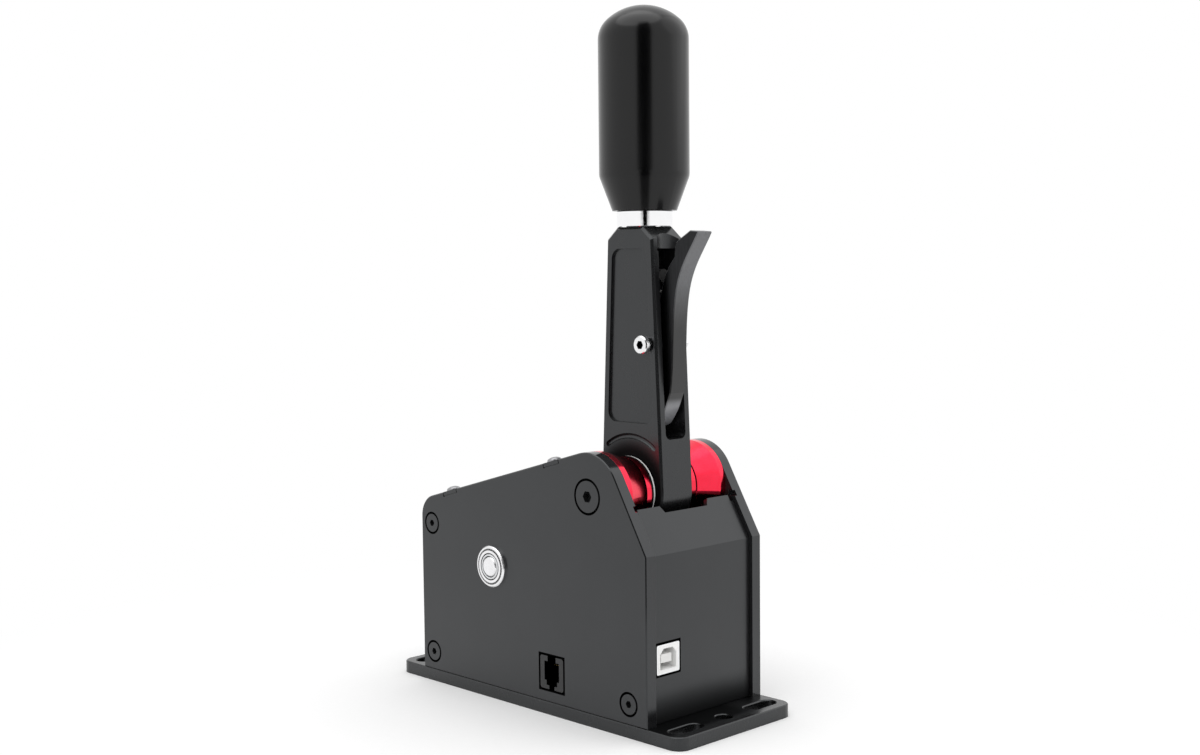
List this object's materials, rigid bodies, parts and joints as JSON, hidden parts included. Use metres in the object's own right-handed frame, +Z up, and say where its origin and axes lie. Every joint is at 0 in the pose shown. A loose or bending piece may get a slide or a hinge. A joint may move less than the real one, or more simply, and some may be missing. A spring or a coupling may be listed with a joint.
{
  "type": "sequential gear shifter",
  "caption": "Desk-mount sequential shifter: rocking lever with round grip and trigger between two side plates on a slotted base, sprung to centre by a rod below.",
  "frame": {"origin": "centre of the base plate's underside", "axes": "+Z up along the lever, +X away from the driver along the base, +Y across to the driver's left"},
  "size_m": [0.162, 0.0658, 0.2699],
  "materials": {
    "charcoal": "satin anodised",
    "cover_grey": "satin powder coat",
    "lever_grey": "satin anodised",
    "red_anodised": "anodised, bright",
    "grip_black": "satin anodised",
    "polished": "polished",
    "silver": "brushed",
    "trigger_grey": "satin anodised",
    "black_steel": "black oxide",
    "bright_steel": "ground",
    "spring_steel": "plain",
    "bronze": "machined",
    "mill_aluminium": "machined",
    "rubber_black": "matte",
    "socket_black": "matte",
    "contact_gold": "plated",
    "shell_silver": "plated",
    "tongue_white": "matte",
    "board_green": "satin",
    "magnet": "plated"
  },
  "bodies": {
    "root": {"base_plate": "charcoal", "left_side_plate": "charcoal", "right_side_plate": "charcoal", "front_cover": "cover_grey", "top_cover": "cover_grey", "rear_cover": "cover_grey", "rear_upper_post": "mill_aluminium", "rear_lower_post": "mill_aluminium", "front_lower_post": "mill_aluminium", "side_screws": "black_steel", "pivot_screws": "black_steel", "base_screws": "black_steel", "block_screws": "black_steel", "ear_screws": "polished", "pivot_shaft": "bright_steel", "left_hub": "red_anodised", "right_hub": "red_anodised", "hub_washers": "tongue_white", "bearing_inner_rings": "bright_steel", "bearing_spacer": "mill_aluminium", "front_spring_block": "mill_aluminium", "rear_spring_block": "mill_aluminium", "rod_bushes": "bronze", "front_spring": "spring_steel", "rear_spring": "spring_steel", "stop_sleeves": "rubber_black", "button_bezel": "silver", "button_barrel": "silver", "button_ring": "silver", "button_spring": "spring_steel", "button_nut": "bright_steel", "modular_socket": "socket_black", "socket_contacts": "contact_gold", "usb_shell": "shell_silver", "usb_tongue": "tongue_white", "control_board": "board_green", "sensor_board": "board_green", "socket_board": "board_green"},
    "lever": {"lever_body": "lever_grey", "lever_stud": "bright_steel", "grip_collar": "polished", "grip": "grip_black", "bearing_outer_rings": "bright_steel", "bearing_balls": "bright_steel", "trigger_pin": "silver", "trigger_nut": "silver", "trigger_spring": "spring_steel", "trigger_sensor": "board_green", "trigger_pads": "rubber_black", "fork_pin": "bright_steel", "pin_clips": "spring_steel"},
    "trigger": {"trigger": "trigger_grey", "trigger_magnet": "magnet"},
    "rod": {"shift_rod": "bright_steel", "rod_fork": "mill_aluminium", "fork_nut": "bright_steel", "rod_collar": "mill_aluminium", "collar_screw": "black_steel", "shift_magnet": "magnet"},
    "button": {"button_cap": "polished"}
  },
  "joints": [
    {"name": "lever_shift", "type": "hinge", "parent": "root", "child": "lever", "pos_m": [0.035, 0, 0.08675], "axis": [0, 1, 0], "range_deg": [-6, 6], "stiffness_Nm_per_rad": 60},
    {"name": "rod_slide", "type": "slide", "parent": "root", "child": "rod", "axis": [1, 0, 0], "range_m": [-0.0046, 0.0046], "deforming": ["front_spring", "rear_spring"]},
    {"name": "trigger_squeeze", "type": "hinge", "parent": "lever", "child": "trigger", "pos_m": [0.0432, 0, 0.1425], "axis": [0, -1, 0], "range_deg": [0, 7], "stiffness_Nm_per_rad": 2, "springref_deg": -5.73, "deforming": ["trigger_spring"]},
    {"name": "button_press", "type": "slide", "parent": "root", "child": "button", "axis": [0, 1, 0], "range_m": [0, 0.0012], "stiffness_N_per_m": 800, "springref_m": -0.0015, "deforming": ["button_spring"]}
  ],
  "couplings": [
    {"joint": "rod_slide", "follows": "lever_shift", "m_per_rad": -0.043}
  ]
}
